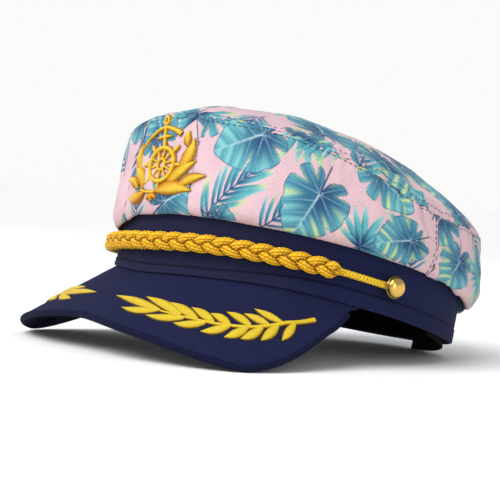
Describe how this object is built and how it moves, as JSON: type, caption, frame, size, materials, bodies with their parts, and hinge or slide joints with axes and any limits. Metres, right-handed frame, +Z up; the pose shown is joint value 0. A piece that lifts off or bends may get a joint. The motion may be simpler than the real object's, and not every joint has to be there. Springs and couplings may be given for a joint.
{
  "type": "captain hat",
  "caption": "Soft captain hat with a leaf print crown, navy twill band, arched peak, gold braid with side buttons, anchor emblem and laurels on the peak.",
  "frame": {"origin": "on the surface that the hat stands on, under the middle of its bounding box", "axes": "+Z up, -Y toward the front of the hat and its peak, +X toward the wearer's left; the rim leans back as the hat rests on its peak and the back of its band"},
  "size_m": [0.1996, 0.253, 0.1281],
  "materials": {
    "navy_twill": "matt cotton twill",
    "navy_piping": "matt bound edge",
    "black_lining": "matt woven lining",
    "printed_twill": "matt cotton twill with a blue and green leaf print on pink",
    "gold_thread": "shiny embroidery thread",
    "yellow_thread": "shiny embroidery thread",
    "gold_cord": "knitted cord",
    "gold_metal": "polished"
  },
  "bodies": {
    "root": {"band": "navy_twill", "sweatband": "black_lining", "back_tab": "black_lining", "crown_front": "printed_twill", "crown_left": "printed_twill", "crown_right": "printed_twill", "crown_back": "printed_twill", "crown_top": "printed_twill", "peak": "navy_twill", "peak_piping": "navy_piping", "peak_laurel_left": "yellow_thread", "peak_laurel_right": "yellow_thread", "emblem": "gold_thread", "braid": "gold_cord", "cord_end_left": "gold_cord", "cord_end_right": "gold_cord", "button_left": "gold_metal", "button_right": "gold_metal"}
  },
  "joints": []
}
